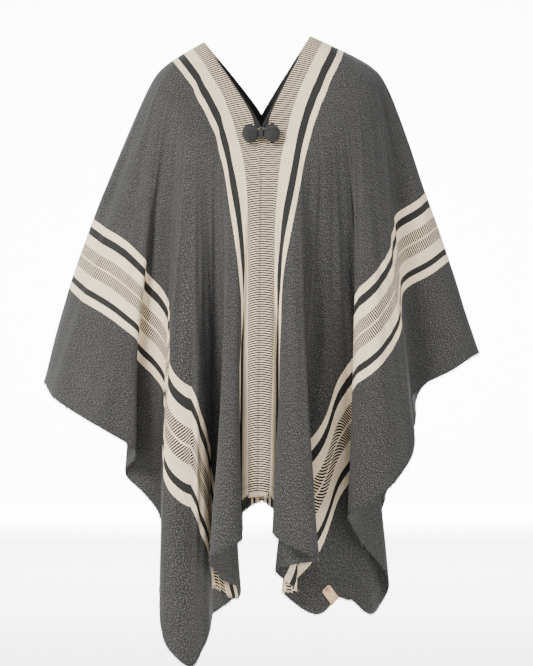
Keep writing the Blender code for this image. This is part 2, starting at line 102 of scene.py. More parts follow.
# One row for each fold line, in cm. cut is the place of its lower end on the cut edge,
# measured from the centre front, down the hem and up the side edge. leaves is where it
# bends off the body. out, deep and down are where its lower end hangs.
# bow is how far its middle stands out.
FoldLine = namedtuple("FoldLine", "name cut leaves out deep down bow")
LEFT_FRONT = (
    FoldLine("centre seam", 0.0, 1.00, 0.6, -14.2, 81.2, 0),
    FoldLine("band edge", 2.5, 0.96, 2.5, -14.2, 81.4, 0),
    FoldLine("centre valley", 7.6, 0.935, 4.6, -10.9, 84.2, 0),
    FoldLine("valley return", 11.2, 0.92, 6.0, -11.6, 86.0, 0),
    FoldLine("pleat edge", 16.0, 0.89, 3.1, -16.8, 89.0, 0),
    FoldLine("pleat face", 20.0, 0.86, 6.1, -19.2, 91.2, 0),
    FoldLine("pleat back edge", 23.5, 0.83, 9.5, -17.4, 92.3, 0),
    FoldLine("pleat return", 29.0, 0.80, 6.9, -10.9, 97.0, 0),
    FoldLine("return fold", 34.0, 0.77, 3.8, -7.5, 98.4, 0),
    FoldLine("band end", 39.0, 0.74, 4.4, -5.4, 100.6, 0),
    FoldLine("band valley", 50.0, 0.70, 9.0, -3.4, 98.6, 0),
    FoldLine("corner lobe edge", 57.0, 0.65, 8.8, -9.0, 103.6, 0),
    FoldLine("corner lobe", 64.0, 0.61, 10.2, -13.0, 108.6, 0),
    FoldLine("corner hem", 68.4, 0.585, 11.6, -13.8, 111.6, 0),
    FoldLine("corner", 70.0, 0.575, 12.4, -14.0, 112.8, 0),
    FoldLine("corner side", 71.6, 0.565, 13.8, -14.0, 111.9, 0.6),
    FoldLine("lobe side low", 76.0, 0.535, 17.0, -13.6, 108.6, 1.4),
    FoldLine("lobe side middle", 86.0, 0.49, 18.2, -10.4, 98.6, 0.8),
    FoldLine("lobe side high", 101.0, 0.43, 18.4, -7.8, 85.0, 0),
    FoldLine("side valley", 107.0, 0.38, 21.3, -8.2, 81.4, 0),
    FoldLine("side valley back", 113.0, 0.33, 24.6, -7.2, 78.0, 0.6),
    FoldLine("outer lobe edge", 120.5, 0.27, 22.2, -13.0, 73.8, 1.1),
    FoldLine("outer lobe inner", 126.0, 0.22, 26.9, -13.2, 70.8, 0.8),
    FoldLine("outer lobe middle", 134.0, 0.16, 33.1, -10.2, 67.3, 0),
    FoldLine("outer lobe front", 141.0, 0.10, 37.4, -5.2, 64.4, 0.6),
    FoldLine("tip", 148.0, 0.05, 39.5, 1.0, 61.5, 1.6),
)
LEFT_BACK = (
    FoldLine("shoulder line", 157.0, 0.00, 38.4, 7.4, 62.0, 1.0),
    FoldLine("back tip fold", 167.0, 0.10, 33.8, 13.4, 64.0, 0),
    FoldLine("back side ridge", 178.0, 0.22, 27.4, 17.6, 67.4, 0),
    FoldLine("back side valley", 189.0, 0.34, 24.8, 9.6, 72.6, 0),
    FoldLine("back lobe edge", 202.0, 0.46, 20.6, 17.6, 78.8, 0),
    FoldLine("back lobe hollow", 216.0, 0.54, 17.6, 10.2, 88.4, 0),
    FoldLine("back lobe ridge", 231.0, 0.60, 15.4, 16.8, 98.4, 0),
    FoldLine("back corner side", 242.0, 0.65, 13.9, 13.4, 105.6, 0),
    FoldLine("back corner", 244.0, 0.665, 13.2, 12.6, 106.8, 0),
    FoldLine("back corner hem", 246.0, 0.68, 12.4, 11.4, 106.4, 0),
    FoldLine("back inner hem", 253.0, 0.71, 9.0, 8.2, 104.2, 0),
    FoldLine("back inner face", 257.0, 0.727, 6.4, 7.2, 102.4, 0),
    FoldLine("back inner fold", 261.0, 0.745, 4.3, 7.8, 100.4, 0),
    FoldLine("back inner return", 273.0, 0.795, 9.2, 11.8, 96.6, 0),
    FoldLine("back return", 279.0, 0.82, 4.8, 13.2, 94.6, 0),
    FoldLine("back pleat far edge", 286.0, 0.85, 7.9, 18.0, 93.0, 0),
    FoldLine("back pleat face", 290.5, 0.87, 5.0, 19.0, 91.0, 0),
    FoldLine("back pleat edge", 296.0, 0.893, 3.2, 16.4, 88.6, 0),
    FoldLine("back valley return", 301.5, 0.918, 4.2, 12.2, 86.4, 0),
    FoldLine("back centre valley", 305.0, 0.935, 2.8, 11.8, 85.2, 0),
    FoldLine("back band edge", 310.5, 0.965, 0.9, 14.2, 84.0, 0),
    FoldLine("back seam", 314.0, 1.00, 0.0, 14.4, 83.8, 0),
)
RIGHT_FRONT = (
    FoldLine("centre seam", 0.0, 1.00, -0.6, -14.2, 81.2, 0),
    FoldLine("band edge", 2.2, 0.96, 1.3, -14.2, 81.4, 0),
    FoldLine("centre valley", 8.0, 0.935, 3.7, -11.0, 84.0, 0),
    FoldLine("valley return", 11.0, 0.92, 4.5, -11.8, 85.6, 0),
    FoldLine("pleat edge", 16.0, 0.89, 1.6, -16.2, 88.1, 0),
    FoldLine("pleat face", 21.0, 0.85, 5.6, -18.8, 91.0, 0),
    FoldLine("pleat far edge", 27.0, 0.81, 10.6, -18.4, 92.8, 0),
    FoldLine("pleat return", 35.5, 0.76, 2.4, -9.4, 95.2, 0),
    FoldLine("striped edge", 42.5, 0.718, 6.4, -8.4, 98.8, 0),
    FoldLine("striped return", 52.5, 0.665, 4.0, -5.4, 99.8, 0),
    FoldLine("shaded face", 56.5, 0.64, 7.8, -5.2, 102.9, 0),
    FoldLine("low point", 60.0, 0.62, 11.3, -4.8, 103.6, 0),
    FoldLine("tag notch", 63.0, 0.605, 13.9, -3.8, 99.9, 0),
    FoldLine("corner hem", 66.5, 0.59, 17.0, -2.2, 101.6, 0),
    FoldLine("corner", 70.0, 0.57, 19.4, -0.8, 104.0, 0),
    FoldLine("corner fold", 74.5, 0.54, 22.1, 2.2, 101.6, 0),
    FoldLine("return edge", 79.0, 0.52, 23.2, 0.4, 97.7, 0),
    FoldLine("return", 87.0, 0.48, 19.0, -4.4, 91.8, 0),
    FoldLine("return inner", 93.0, 0.45, 16.2, -7.4, 87.6, 0),
    FoldLine("lobe edge", 99.0, 0.41, 16.0, -12.0, 84.6, 0),
    FoldLine("lobe low", 104.0, 0.37, 20.0, -13.4, 82.8, 0),
    FoldLine("lobe corner", 110.0, 0.32, 24.2, -11.6, 79.0, 0),
    FoldLine("lobe outer", 117.0, 0.27, 27.3, -9.4, 74.1, 0),
    FoldLine("lobe outer high", 122.0, 0.22, 27.5, -7.8, 70.4, 0),
    FoldLine("crease", 129.0, 0.17, 26.8, -3.2, 64.8, 0),
    FoldLine("outer fold", 134.0, 0.13, 28.8, -1.6, 62.4, 0),
    FoldLine("outer lobe", 141.0, 0.09, 34.6, -1.2, 59.6, 0),
    FoldLine("tip", 148.0, 0.05, 39.4, 1.6, 56.2, 0),
)
RIGHT_BACK = (
    FoldLine("shoulder line", 157.0, 0.00, 37.6, 9.0, 57.6, 0),
    FoldLine("back tip fold", 167.0, 0.10, 33.4, 14.4, 59.8, 0),
    FoldLine("back side ridge", 179.0, 0.22, 28.9, 18.4, 64.2, 0),
    FoldLine("back side valley", 190.0, 0.34, 27.9, 11.6, 70.4, 0),
    FoldLine("back lobe edge", 203.0, 0.45, 24.2, 17.0, 76.8, 0),
    FoldLine("back lobe hollow", 216.0, 0.53, 22.2, 11.4, 84.8, 0),
    FoldLine("back lobe ridge", 230.0, 0.60, 18.6, 17.4, 93.4, 0),
    FoldLine("back corner side", 242.0, 0.65, 17.0, 12.9, 101.0, 0),
    FoldLine("back corner", 244.0, 0.665, 16.4, 12.3, 102.2, 0),
    FoldLine("back corner hem", 246.0, 0.68, 15.5, 13.0, 101.8, 0),
    FoldLine("back corner fold", 252.0, 0.705, 12.4, 16.6, 101.2, 0),
    FoldLine("back inner hem", 260.0, 0.74, 10.8, 11.6, 99.6, 0),
    FoldLine("back inner face", 266.0, 0.765, 8.4, 8.2, 98.6, 0),
    FoldLine("back inner fold", 273.0, 0.795, 5.2, 7.6, 96.6, 0),
    FoldLine("back return", 278.0, 0.818, 5.8, 11.6, 95.0, 0),
    FoldLine("back pleat far edge", 286.0, 0.85, 9.0, 18.2, 93.0, 0),
    FoldLine("back pleat face", 290.5, 0.87, 5.6, 19.4, 91.0, 0),
    FoldLine("back pleat edge", 296.0, 0.893, 2.6, 17.0, 88.4, 0),
    FoldLine("back valley return", 301.5, 0.918, 4.0, 12.6, 86.6, 0),
    FoldLine("back centre valley", 305.0, 0.935, 2.5, 11.6, 85.4, 0),
    FoldLine("back band edge", 310.5, 0.965, 0.9, 14.2, 84.0, 0),
    FoldLine("back seam", 314.0, 1.00, 0.0, 14.4, 83.8, 0),
)

# Soft creases and ridges on the sheets. Each runs from one place to another on a panel;
# a place is a level (0 slit, 1 where the cloth leaves the body, 2 cut edge) and a distance
# along the cut edge in cm. width is in cm, and rise in mm is below 0 for a trough.
Crease = namedtuple("Crease", "name level_from cut_from level_to cut_to width rise")
LEFT_CREASES = (
    Crease("toggle pull", 0.1, 6, 1.5, 12, 1.6, -3.0),
    Crease("toggle pull outer", 0.2, 17, 1.6, 22, 2.4, 2.5),
    Crease("chest slack", 0.5, 27, 1.7, 31, 2.6, -2.6),
    Crease("chest ridge", 0.7, 40, 1.8, 44, 3.0, 3.2),
    Crease("breast hollow", 0.8, 52, 1.6, 50, 3.4, -3.0),
    Crease("corner fall", 1.2, 60, 2.0, 66, 2.6, 2.2),
    Crease("corner hollow", 1.3, 75, 2.0, 73, 2.2, -2.6),
    Crease("lobe swing", 1.1, 88, 1.95, 92, 3.2, 3.0),
    Crease("lobe swing low", 1.35, 96, 2.0, 99, 2.4, -2.6),
    Crease("arm drape", 0.7, 116, 1.7, 119, 3.0, -2.8),
    Crease("elbow slack", 1.1, 127, 1.9, 130, 3.0, 2.6),
    Crease("outer fall", 0.9, 136, 2.0, 138, 3.4, -2.4),
    Crease("shoulder roll", 0.4, 146, 1.8, 145, 3.0, 2.2),
    Crease("back arm drape", 0.7, 172, 1.8, 170, 3.2, 3.0),
    Crease("back arm hollow", 0.8, 184, 1.9, 186, 3.0, -3.0),
    Crease("blade slack", 0.5, 205, 1.7, 208, 3.6, 3.2),
    Crease("blade hollow", 0.6, 222, 1.9, 219, 3.0, -3.0),
    Crease("back lobe fall", 1.0, 236, 2.0, 239, 2.6, 2.4),
    Crease("back yoke slack", 0.3, 258, 1.6, 260, 3.0, -2.6),
    Crease("back centre fall", 0.4, 289, 1.8, 291, 2.4, 2.4),
)
RIGHT_CREASES = (
    Crease("toggle pull", 0.1, 5, 1.4, 11, 1.6, -3.0),
    Crease("toggle pull outer", 0.2, 15, 1.7, 20, 2.2, 2.6),
    Crease("chest slack", 0.4, 29, 1.8, 32, 2.8, -2.6),
    Crease("chest ridge", 0.7, 38, 1.7, 41, 2.6, 3.0),
    Crease("breast hollow", 0.7, 55, 1.7, 56, 3.2, -2.8),
    Crease("corner fall", 1.2, 68, 2.0, 67, 2.4, 2.2),
    Crease("return hollow", 1.3, 84, 2.0, 86, 2.6, -2.4),
    Crease("lobe ridge", 1.1, 98, 1.9, 101, 2.8, 2.6),
    Crease("lobe hollow", 1.2, 108, 2.0, 107, 2.4, -2.2),
    Crease("lobe fall", 1.0, 114, 1.9, 115, 2.6, 2.6),
    Crease("outer crease", 0.8, 127, 1.9, 129, 1.8, -4.0),
    Crease("outer fall", 0.8, 138, 1.9, 139, 3.2, 2.6),
    Crease("shoulder roll", 0.4, 149, 1.8, 150, 3.0, -2.2),
    Crease("back arm drape", 0.7, 171, 1.8, 173, 3.2, 3.0),
    Crease("back arm hollow", 0.8, 186, 1.9, 184, 3.0, -3.0),
    Crease("blade slack", 0.5, 207, 1.7, 205, 3.6, 3.2),
    Crease("blade hollow", 0.6, 220, 1.9, 223, 3.0, -3.0),
    Crease("back lobe fall", 1.0, 238, 2.0, 237, 2.6, 2.4),
    Crease("back yoke slack", 0.3, 260, 1.6, 258, 3.0, -2.6),
    Crease("back centre fall", 0.4, 291, 1.8, 289, 2.4, 2.4),
)

# Slow unevenness of the hanging cloth: waves along the cut edge and down the cloth.
# across is in cm, down in levels, height in mm.
Wave = namedtuple("Wave", "across down height phase")
UNEVENNESS = (
    Wave(9.5, 0.9, 1.1, 0.4),
    Wave(6.1, 1.7, 0.8, 2.1),
    Wave(13.7, 0.6, 1.3, 4.0),
    Wave(4.3, 0.8, 0.45, 1.3),
    Wave(2.9, 0.5, 0.25, 5.2),
)


def slopes(places, values):
    """Slope at each knot of a smooth curve through points that are unevenly spaced."""
    steps = np.diff(places)[:, None]
    chords = np.diff(values, axis=0) / steps
    inner = (chords[:-1] * steps[1:] + chords[1:] * steps[:-1]) / (steps[:-1] + steps[1:])
    return np.vstack((chords[:1], inner, chords[-1:]))


def smooth(places, values, wanted):
    """Rows of that curve at the wanted places."""
    tangents = slopes(places, values)
    i = np.clip(np.searchsorted(places, wanted, side="right") - 1, 0, len(places) - 2)
    step = (places[i + 1] - places[i])[:, None]
    f = (wanted - places[i])[:, None] / step
    return (values[i] * (2 * f ** 3 - 3 * f ** 2 + 1) + values[i + 1] * (3 * f ** 2 - 2 * f ** 3)
            + tangents[i] * step * (f ** 3 - 2 * f ** 2 + f)
            + tangents[i + 1] * step * (f ** 3 - f ** 2))


def ease(share):
    """From 0 to 1 with level ends."""
    share = np.clip(share, 0.0, 1.0)
    return share * share * (3 - 2 * share)


def body_point(side, rows, share):
    """Where a fold line bends off the body."""
    places = np.array([(side.sign * side.shoulder_out * row.out, row.deep * CM,
                        -side.shoulder_down - row.down * CM) for row in rows])
    return smooth(np.array([row.share for row in rows]), places, np.array([share]))[0]


def slit_point(side, bottom, share):
    """A point of the neck slit's edge, from the neck (0) to the slit's end (1)."""
    rounding = math.hypot(1, NECK_ROUNDING) - NECK_ROUNDING
    eased = (math.hypot(share, NECK_ROUNDING) - NECK_ROUNDING) / rounding
    spread = side.neck_out * (1 - eased) ** side.slit_curl
    height = side.neck_up + (bottom[2] - side.neck_up) * eased
    return np.array((side.sign * max(spread, SEAM_GAP / 2), bottom[1] * share, height))


def cut_points(cuts):
    """The flat places (across, along) of points of the cut edge; along is + in front."""
    across = np.clip(np.minimum(cuts, 2 * (PANEL_WIDTH + HALF_LENGTH) - cuts), 0, PANEL_WIDTH)
    along = np.clip(HALF_LENGTH + PANEL_WIDTH - cuts, -HALF_LENGTH, HALF_LENGTH)
    return np.stack((across, along), axis=1)


class Panel:
    """One panel as arrays with a row for each fold line."""

    def __init__(self, side, front_rows, back_rows):
        self.side = side
        rows = [(row, True) for row in front_rows] + [(row, False) for row in back_rows]
        self.cuts = np.array([row.cut * CM for row, _ in rows])
        shares = [row.leaves * (0.35 + 0.65 * row.leaves ** 2) for row, _ in rows]
        self.flat_start = np.array([(0.0, (FRONT_SLIT if front else -BACK_SLIT) * share)
                                    for (_, front), share in zip(rows, shares)])
        self.start = np.array([slit_point(side, FRONT_SLIT_BOTTOM if front else BACK_SLIT_BOTTOM, share)
                               for (_, front), share in zip(rows, shares)])
        self.knee = np.array([body_point(side, CHEST if front else SHOULDER_BLADES, row.leaves)
                              for row, front in rows])
        self.end = np.array([(side.sign * row.out * CM, row.deep * CM, -row.down * CM)
                             for row, _ in rows])
        leaves = np.array([row.leaves for row, _ in rows])
        seams = leaves == 1.0
        self.knee[seams, 0] = side.sign * SEAM_GAP / 2
        self.end[seams, 0] += side.sign * SEAM_GAP / 2
        self.bow = np.array([side.sign * row.bow * CM for row, _ in rows])
        pulls = np.exp(-((self.cuts[:, None] - self.cuts[None, :]) / CALM_SPREAD) ** 2)
        self.calm_end = pulls @ self.end / pulls.sum(axis=1)[:, None]
        self.calm_end[:, 2] = self.end[:, 2]
        self.calm_weight = np.where(seams, 0.0, np.clip((leaves - 0.1) / 0.15, 0.0, 1.0))

    def fold_lines(self, level):
        """Each fold line's point at a level, and its share of the flat way to the cut edge."""
        upper = self.knee - self.start
        upper_length = np.linalg.norm(upper, axis=1)
        opening = (1 - self.calm_weight * min(1.0, 2 - level))[:, None]
        hanging = self.calm_end + (self.end - self.calm_end) * opening - self.knee
        hanging_length = np.linalg.norm(hanging, axis=1)
        way = (upper_length if level < 1 else hanging_length) * (level - 1)
        rounding = np.sqrt(way ** 2 + KNEE_RADIUS ** 2 * level * (2 - level))
        points = (self.knee - upper * ((rounding - way) / 2 / upper_length)[:, None]
                  + hanging * ((rounding + way) / 2 / hanging_length)[:, None])
        if level > 1:
            points[:, 0] += self.bow * math.sin(math.pi * (level - 1) ** 1.3)
        flat_length = np.linalg.norm(cut_points(self.cuts) - self.flat_start, axis=1)
        bend = upper_length / flat_length
        shares = bend * level if level < 1 else bend + (1 - bend) * (level - 1)
        return points, shares

    def row_of_cloth(self, cuts, level):
        """Points of the outer face at one level, and where they are on the flat cloth."""
        lines, shares = self.fold_lines(level)
        reach = np.minimum(FOLD_ROUNDING, np.minimum(cuts, self.cuts[-1] - cuts))
        points = (smooth(self.cuts, lines, cuts) * 2 + smooth(self.cuts, lines, cuts - reach)
                  + smooth(self.cuts, lines, cuts + reach)) / 4
        starts = smooth(self.cuts, self.flat_start, cuts)
        share = smooth(self.cuts, shares[:, None], cuts)
        return points, starts + (cut_points(cuts) - starts) * share


def face_directions(grid):
    """The outward direction at each point of a sheet's grid."""
    down, along = np.gradient(grid, axis=0), np.gradient(grid, axis=1)
    out = np.cross(down, along)
    out /= np.maximum(np.linalg.norm(out, axis=2), 1e-9)[:, :, None]
    return out


def crease_rise(creases, levels, cuts):
    """Height in metres of all the creases over the grid."""
    rise = np.zeros((len(levels), len(cuts)))
    for crease in creases:
        share = (levels - crease.level_from) / (crease.level_to - crease.level_from)
        middle = crease.cut_from + (crease.cut_to - crease.cut_from) * share
        middle = middle + crease.width * 0.35 * np.sin(share * 5.1 + crease.cut_from)
        fade = ease(share / 0.3) * ease((1.15 - share) / 0.35)
        off = (cuts[None, :] / CM - middle[:, None]) / crease.width
        rise += fade[:, None] * np.exp(-off ** 2) * crease.rise * MM
    return rise


def uneven_rise(levels, cuts, side):
    """Height in metres of the slow unevenness over the grid."""
    rise = np.zeros((len(levels), len(cuts)))
    for wave in UNEVENNESS:
        down = levels[:, None] / wave.down * 2 * math.pi
        across = cuts[None, :] / CM / wave.across * 2 * math.pi + 1.3 * np.sin(down + wave.phase)
        rise += (wave.height * MM * np.sin(across + wave.phase + side.sign)
                 * np.sin(down * 0.5 + wave.phase))
    return rise


def hold_seams(panel, cuts, grid):
    """The strip beside each seam lies square to the seam, so the panels meet edge to edge."""
    for edge, distance in ((0, cuts), (-1, cuts[-1] - cuts)):
        near = distance < SELVEDGE
        held = ease(distance[near] / SELVEDGE)[None, :, None]
        seam = grid[:, edge][:, None, :]
        strip = seam + (grid[:, near] - seam) * held
        least = panel.side.sign * seam[:, :, 0] + distance[near][None, :] * 0.6
        strip[:, :, 0] = panel.side.sign * np.maximum(panel.side.sign * grid[:, near, 0], least)
        grid[:, near] = strip
    return grid


def sheet_grids(panel, creases):
    """The panel's points in space and on the flat cloth, as grids of levels by columns."""
    levels = np.concatenate((np.arange(UPPER_STEPS) / UPPER_STEPS,
                             1 + np.arange(HANGING_STEPS + 1) / HANGING_STEPS))
    cuts = column_cuts(panel)
    rows = [panel.row_of_cloth(cuts, level) for level in levels]
    grid = np.array([points for points, _ in rows])
    flat = np.array([places for _, places in rows])
    out = face_directions(grid) * -panel.side.sign
    beside_seams = ease(cuts / 0.03) * ease((cuts[-1] - cuts) / 0.03)
    over_shoulders = ease((levels - 0.7) / 0.9)
    calm = beside_seams[None, :] * over_shoulders[:, None]
    rise = (crease_rise(creases, levels, cuts) + uneven_rise(levels, cuts, panel.side)) * calm
    grid += out * rise[:, :, None]
    return hold_seams(panel, cuts, grid), flat


def column_cuts(panel):
    """Evenly spread columns, nudged so that one falls on each corner of the cut."""
    corners = [0.0, PANEL_WIDTH, PANEL_WIDTH + 2 * HALF_LENGTH, panel.cuts[-1]]
    stretches = [np.linspace(a, b, round(COLUMNS * (b - a) / corners[-1]), endpoint=False)
                 for a, b in zip(corners, corners[1:])]
    return np.concatenate(stretches + [np.array([corners[-1]])])


# Finishes ---------------------------------------------------------------------------

def linear(code):
    """Linear colour of an sRGB hex value."""
    values = [int(code[i:i + 2], 16) / 255 for i in (1, 3, 5)]
    return tuple(v / 12.92 if v <= 0.04045 else ((v + 0.055) / 1.055) ** 2.4 for v in values) + (1.0,)


def new_finish(name, colour, roughness, metallic=0.0, sheen=0.0):
    """A material with a Principled shader; returns it with its node tree and shader."""
    finish = bpy.data.materials.new(name)
    finish.use_nodes = True
    shader = finish.node_tree.nodes["Principled BSDF"]
    shader.inputs["Base Color"].default_value = linear(colour)
    shader.inputs["Roughness"].default_value = roughness
    shader.inputs["Metallic"].default_value = metallic
    shader.inputs["Sheen Weight"].default_value = sheen
    shader.inputs["Sheen Roughness"].default_value = 0.6
    return finish, finish.node_tree, shader


def add(tree, kind, links=(), **settings):
    """Add a node. links are (input, output to read). A setting that starts with a capital is
    the value of that input, with _ for a space; any other is an attribute of the node."""
    node = tree.nodes.new("ShaderNode" + kind)
    for key, value in settings.items():
        if key[0].isupper():
            node.inputs[key.replace("_", " ")].default_value = value
        else:
            setattr(node, key, value)
    for socket, source in links:
        tree.links.new(source, node.inputs[socket])
    return node


def math_node(tree, operation, first, second=0.0, third=0.0):
    """The output of a Math node whose inputs are outputs of other nodes or numbers."""
    node = add(tree, "Math", operation=operation)
    for i, value in enumerate((first, second, third)):
        if isinstance(value, (int, float)):
            node.inputs[i].default_value = value
        else:
            tree.links.new(value, node.inputs[i])
    return node.outputs[0]


def mix_colours(tree, share, first, second, blend="MIX"):
    """The colour output of a Mix node."""
    node = add(tree, "Mix", data_type="RGBA", blend_type=blend)
    for socket, value in ((0, share), (6, first), (7, second)):
        if isinstance(value, (int, float, tuple)):
            node.inputs[socket].default_value = value
        else:
            tree.links.new(value, node.inputs[socket])
    return node.outputs[2]


def noise(tree, place, feature, detail, roughness=0.5):
    """The value of a noise texture whose features have a size in metres."""
    return add(tree, "TexNoise", [("Vector", place)], Scale=1 / feature, Detail=detail,
               Roughness=roughness).outputs[0]


def tones(tree, source, stops):
    """A colour for each value of source; stops are (value, sRGB colour), values rising."""
    ramp = add(tree, "ValToRGB", [(0, source)])
    elements = ramp.color_ramp.elements
    for element, (value, colour) in ((elements[0], stops[0]), (elements[1], stops[-1])):
        element.position = value
        element.color = linear(colour)
    for value, colour in stops[1:-1]:
        elements.new(value).color = linear(colour)
    return ramp.outputs[0]


def set_bump(tree, shader, height, strength, depth):
    """Bump the shader's surface by height, which is depth metres deep."""
    bump = add(tree, "Bump", [("Height", height)], Strength=strength, Distance=depth)
    tree.links.new(bump.outputs[0], shader.inputs["Normal"])


# The warp stripes across a panel, in cm from the centre edge. brick is a zone where
# short dark bars cross the cream, shifted by half a step from one row to the next.
Stripe = namedtuple("Stripe", "start cream dark brick")
STRIPES = (
    Stripe(0.0, 1, 0, 1),
    Stripe(2.2, 1, 0, 0),
    Stripe(4.3, 0, 1, 0),
    Stripe(5.5, 1, 0, 0),
    Stripe(6.8, 0, 0, 0),
    Stripe(38.7, 1, 0, 0),
    Stripe(40.0, 0, 1, 0),
    Stripe(41.3, 1, 0, 0),
    Stripe(43.3, 1, 0, 1),
    Stripe(45.35, 1, 0, 0),
    Stripe(45.55, 1, 0, 1),
    Stripe(47.55, 1, 0, 0),
    Stripe(49.5, 0, 1, 0),
    Stripe(50.8, 1, 0, 0),
    Stripe(52.1, 0, 0, 0),
)
LAST_ROW = 45.45 * CM
BAR_PITCH = 4.3 * MM
STITCH_INSET = 14 * MM
# Painted shade beside the neck slit: a charcoal strip, narrow on the outer face and wide on the inner
# face, from a set depth below the shoulder line down to the slit's end
SLIT_SHADE_FRONT = 1.5 * MM
SLIT_SHADE_INNER = 18 * MM
SLIT_SHADE_TOP = 60 * MM

# The tones of each yarn, dark to light
HEATHER = ((0.36, "#0f0e0e"), (0.50, "#232221"), (0.66, "#64625e"))
CREAM = ((0.28, "#cdb592"), (0.62, "#f2e0c2"))
CHARCOAL = ((0.30, "#0e0d0d"), (0.72, "#242322"))
BAR_COLOUR = "#070606"
STITCH_COLOUR = "#2f2d2b"


def stripe_zones(tree, across):
    """Masks, each 0 or 1, of the cream, the dark and the brick zones."""
    ramp = add(tree, "ValToRGB", [(0, math_node(tree, "DIVIDE", across, PANEL_WIDTH))])
    ramp.color_ramp.interpolation = "CONSTANT"
    stops = ramp.color_ramp.elements
    stops.remove(stops[1])
    for i, stripe in enumerate(STRIPES):
        start = stripe.start * CM / PANEL_WIDTH
        stop = stops[0] if i == 0 else stops.new(start)
        stop.position = start
        stop.color = (stripe.cream, stripe.dark, stripe.brick, 1)
    zones = add(tree, "SeparateColor", [(0, ramp.outputs[0])])
    return zones.outputs[0], zones.outputs[1], zones.outputs[2]


def bar_mask(tree, across, along, brick):
    """The short dark bars of the brick zones."""
    shift = math_node(tree, "MULTIPLY", math_node(tree, "GREATER_THAN", across, LAST_ROW), 0.5)
    turns = math_node(tree, "ADD", math_node(tree, "DIVIDE", along, BAR_PITCH), shift)
    bar = math_node(tree, "PINGPONG", turns, 0.5)
    bar = add(tree, "MapRange", [(0, bar)], From_Min=0.17, From_Max=0.24).outputs[0]
    return math_node(tree, "MULTIPLY", bar, brick)


def slit_shade_mask(tree, across, from_shoulder, width):
    """Painted shade beside the slit, in front and behind: a dark strip of the given width along the
    slit's edge.
    """
    beside_slit = math_node(tree, "MULTIPLY",
                            math_node(tree, "GREATER_THAN", from_shoulder, SLIT_SHADE_TOP),
                            math_node(tree, "LESS_THAN", from_shoulder, FRONT_SLIT))
    return math_node(tree, "MULTIPLY", math_node(tree, "LESS_THAN", across, width), beside_slit)


def stitch_mask(tree, across, from_shoulder):
    """The line of stitching inside the hem and the side edge."""
    from_hem, from_side = (
        math_node(tree, "ABSOLUTE", math_node(tree, "SUBTRACT", way, edge - STITCH_INSET))
        for way, edge in ((from_shoulder, HALF_LENGTH), (across, PANEL_WIDTH)))
    nearest = math_node(tree, "MINIMUM", from_hem, from_side)
    return add(tree, "MapRange", [(0, nearest)], From_Min=0.5 * MM, From_Max=1.6 * MM,
               To_Min=1.0, To_Max=0.0).outputs[0]


def make_twill(name, slit_shade_width):
    """Wool twill, woven from heather yarn, brushed: matte, light flecks on charcoal, short
    hairs that catch the light at the rim. The real ribs are about 1.2 mm apart; they are
    drawn about twice as coarse so that they show."""
    finish, tree, shader = new_finish(name, "#3a3938", 0.95, sheen=0.04)
    place = add(tree, "UVMap", uv_map="cloth").outputs[0]
    parts = add(tree, "SeparateXYZ", [(0, place)])
    across, along = parts.outputs[0], parts.outputs[1]
    from_shoulder = math_node(tree, "ABSOLUTE", along)

    # The weave: flecks and ribs on the slant, and slow cloudy tones
    diagonal = add(tree, "Mapping", [(0, place)], Rotation=(0, 0, math.radians(38)),
                   Scale=(1.0, 0.6, 1.0)).outputs[0]
    fleck = noise(tree, diagonal, 1.5 * MM, 3.0, 0.7)
    rib = add(tree, "TexWave", [(0, diagonal)], bands_direction="X", Scale=1 / (15.5 * MM),
              Distortion=2.2, Detail=1.0, Detail_Scale=60.0).outputs[1]
    cloud = noise(tree, place, 45 * MM, 2.0)

    # Yarn wanders by a fraction of a millimetre at a stripe's edge
    wobble = math_node(tree, "SUBTRACT", noise(tree, place, 2.4 * MM, 1.0), 0.5)
    wandered = math_node(tree, "ADD", across, math_node(tree, "MULTIPLY", wobble, 1.2 * MM))
    cream, dark, brick = stripe_zones(tree, wandered)
    bars = bar_mask(tree, across, along, brick)
    # Painted shade: a dark strip along the slit's edge
    slit_shade = slit_shade_mask(tree, across, from_shoulder, slit_shade_width)
    stitches = stitch_mask(tree, across, from_shoulder)

    charcoal = tones(tree, fleck, CHARCOAL)
    colour = mix_colours(tree, cream, tones(tree, fleck, HEATHER), tones(tree, fleck, CREAM))
    colour = mix_colours(tree, dark, colour, charcoal)
    colour = mix_colours(tree, bars, colour, linear(BAR_COLOUR))
    # Painted shade: the strip beside the slit is turned charcoal
    colour = mix_colours(tree, slit_shade, colour, charcoal)
    weave = math_node(tree, "ADD", math_node(tree, "MULTIPLY", rib, 0.45), cloud)
    shade = add(tree, "MapRange", [(0, weave)], From_Min=0.35, From_Max=1.15,
                To_Min=0.86, To_Max=1.10).outputs[0]
    tint = add(tree, "CombineColor", [(0, shade), (1, shade), (2, shade)]).outputs[0]
    colour = mix_colours(tree, 1.0, colour, tint, "MULTIPLY")
    colour = mix_colours(tree, math_node(tree, "MULTIPLY", stitches, 0.35), colour,
                         linear(STITCH_COLOUR))
    tree.links.new(colour, shader.inputs["Base Color"])

    height = math_node(tree, "ADD", math_node(tree, "MULTIPLY", rib, 0.5), fleck)
    height = math_node(tree, "SUBTRACT", height, math_node(tree, "MULTIPLY", stitches, 1.2))
    height = math_node(tree, "SUBTRACT", height, math_node(tree, "MULTIPLY", bars, 0.25))
    set_bump(tree, shader, height, 0.22, 0.5 * MM)
    return finish


def make_yarn(name, dark_tone, light_tone):
    """Spun wool yarn, cut: matte, with a fine twist that gives short light and dark streaks."""
    finish, tree, shader = new_finish(name, light_tone, 0.95, sheen=0.05)
    place = add(tree, "TexCoord").outputs["Object"]
    strand = noise(tree, place, 1.6 * MM, 2.0)
    colour = tones(tree, strand, ((0.32, dark_tone), (0.66, light_tone)))
    tree.links.new(colour, shader.inputs["Base Color"])
    set_bump(tree, shader, strand, 0.5, 0.3 * MM)
    return finish


